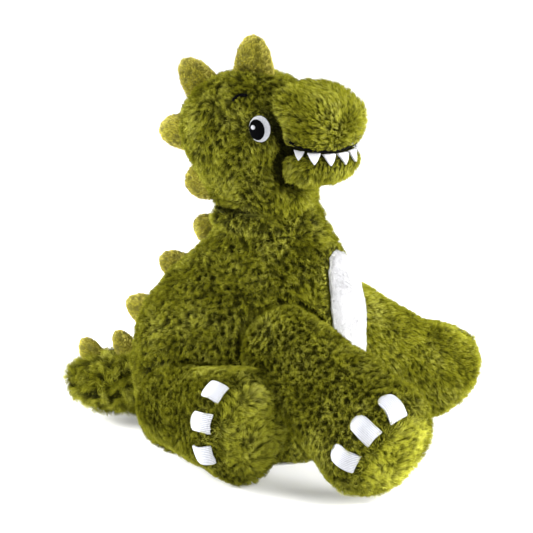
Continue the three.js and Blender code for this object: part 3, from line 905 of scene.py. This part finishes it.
def applique(node, body, material, voxel, count, puff=0.0, rib=0.0, dome=0.0):
    """A sewn-on or embroidered piece. count(points) numbers its threads.

    puff, rib and dome are heights: all over, of each thread, and of a smooth bulge in the middle.
    """
    obj = wrap(node + "_sewn", [node], voxel)
    mesh = obj.data
    relax(mesh, 10 if dome else 4, 0.4)
    co = vertices(mesh)
    if dome:
        hip = np.array(joint_of(body)["pos_m"])
        sole = vertices(frame["nodes"][body.removesuffix("_leg") + "_sole"].data).mean(0)
        outwards = tangential(co.mean(0) - hip, unit(sole - hip))
        set_vertices(mesh, without_folds(co, normals(mesh), outwards, dome))
        relax(mesh, 3, 0.4)
        co = vertices(mesh)
    threads = count(co)
    rise = puff + rib * np.sin(2 * math.pi * threads)
    set_vertices(mesh, co + normals(mesh) * rise[:, None])
    set_attribute(mesh, "thread", threads)
    set_material(mesh, material)
    finish(obj, body, [node])


def across(direction, pitch):
    """Numbers threads that lie pitch apart along a direction."""
    way = unit(np.array(direction, float))
    return lambda co: (co @ way) / pitch


def make_face():
    muzzle_low, muzzle_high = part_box("muzzle_cover")
    middle = np.array([(muzzle_low.x + muzzle_high.x) / 2 - 12 * MM, 0, 0])

    def round_the_face(co):
        spread = co - middle
        return np.arctan2(spread[:, 1], spread[:, 0]) * 40 * MM / (1.3 * MM)

    def on_head(node, material, voxel, count, puff, rib=0.0):
        applique(node, "head", material, voxel, count, puff, rib)

    on_head("mouth_line", BLACK_THREAD, 0.45 * MM, round_the_face, -0.25 * MM, 0.12 * MM)
    up, along = across((0, 0, 1), 0.9 * MM), across((1, 0, 0), 1.2 * MM)
    for side in ("right", "left"):
        on_head(f"{side}_eye_white", WHITE_THREAD, 0.4 * MM, up, 0.25 * MM)
        on_head(f"{side}_eye_pupil", BLACK_THREAD, 0.4 * MM, up, 0.2 * MM)
        on_head(f"{side}_brow", BLACK_THREAD, 0.4 * MM, along, 0.2 * MM, 0.1 * MM)
    for node in teeth():
        on_head(node, WHITE_FELT, 0.45 * MM, across((0, 0, 1), 1 * MM), 0.2 * MM)


def make_claws(leg):
    body = leg + "_leg"
    hip = np.array(joint_of(body)["pos_m"])
    sole = vertices(frame["nodes"][leg + "_sole"].data).mean(0) - hip
    for node in claws_of(leg):
        outwards = vertices(frame["nodes"][node].data).mean(0) - hip
        applique(node, body, WHITE_THREAD, 0.5 * MM, across(np.cross(sole, outwards), 1.5 * MM),
                 puff=0.25 * MM, rib=0.1 * MM, dome=1.1 * MM)


make_torso()
make_neck()
make_head()
make_tail()
for number, (leg, calm) in enumerate(LEGS):
    make_leg(leg, 20 + number, calm)
    make_claws(leg)
make_belly()
make_face()
SPIKE_GROUNDS = {"head": ["head_cover", "muzzle_cover"], "torso": ["torso_cover"], "tail": ["tail_cover"]}
for body, covers in SPIKE_GROUNDS.items():
    for spike in spikes_on(body):
        make_spike(spike, body, covers)


# ---- Stage ----


def light(name, kind, place, target, size, power):
    """A soft lamp. size is a disk's diameter, or a sun's angle."""
    data = bpy.data.lights.new(name, kind)
    if kind == "SUN":
        data.angle = size
    else:
        data.shape = "DISK"
        data.size = size
    data.energy = power
    obj = link(name, data)
    obj.location = place
    obj.rotation_euler = (Vector(target) - Vector(place)).to_track_quat("-Z", "Y").to_euler()


def make_stage():
    mesh = bpy.data.meshes.new("floor")
    far = 6.0
    corners = [(-far, -far, 0), (far, -far, 0), (far, far, 0), (-far, far, 0)]
    mesh.from_pydata(corners, [], [(0, 1, 2, 3)])
    floor = link("floor", mesh)
    pale = Nodes("pale_floor", 0.9)
    pale.shader.inputs["Emission Color"].default_value = (1, 1, 1, 1)
    pale.shader.inputs["Emission Strength"].default_value = 0.22
    mesh.materials.append(pale.colour((0.9, 0.9, 0.9, 1)))
    world = bpy.data.worlds.new("pale_room")
    bpy.context.scene.world = world
    world.use_nodes = True
    tree = world.node_tree
    seen = tree.nodes.new("ShaderNodeLightPath").outputs["Is Camera Ray"]
    strength = tree.nodes.new("ShaderNodeMapRange")
    strength.inputs["To Min"].default_value = 0.4
    strength.inputs["To Max"].default_value = 0.97
    tree.links.new(seen, strength.inputs["Value"])
    background = tree.nodes["Background"]
    background.inputs["Color"].default_value = (1, 1, 1, 1)
    tree.links.new(strength.outputs["Result"], background.inputs["Strength"])
    middle = (0.03, 0, 0.17)
    light("key", "SUN", (1.0, -0.2, 1.3), middle, math.radians(35), 1.9)
    light("left", "AREA", (-1.25, -0.55, 0.6), middle, 0.8, 48)
    light("right", "AREA", (1.25, 0.4, 0.45), middle, 0.8, 40)


def make_camera():
    azimuth, elevation, distance = math.radians(28), math.radians(14), 3.6
    target = Vector((0.026, 0, 0.157))
    sideways, backwards = math.sin(azimuth), -math.cos(azimuth)
    level = math.cos(elevation)
    back = Vector((sideways * level, backwards * level, math.sin(elevation)))
    data = bpy.data.cameras.new("camera")
    data.sensor_width = 36
    data.lens = 286
    camera = link("camera", data)
    camera.location = target + back * distance
    camera.rotation_euler = (-back).to_track_quat("-Z", "Y").to_euler()
    bpy.context.scene.camera = camera


make_stage()
make_camera()
bpy.context.scene.view_settings.view_transform = "Standard"
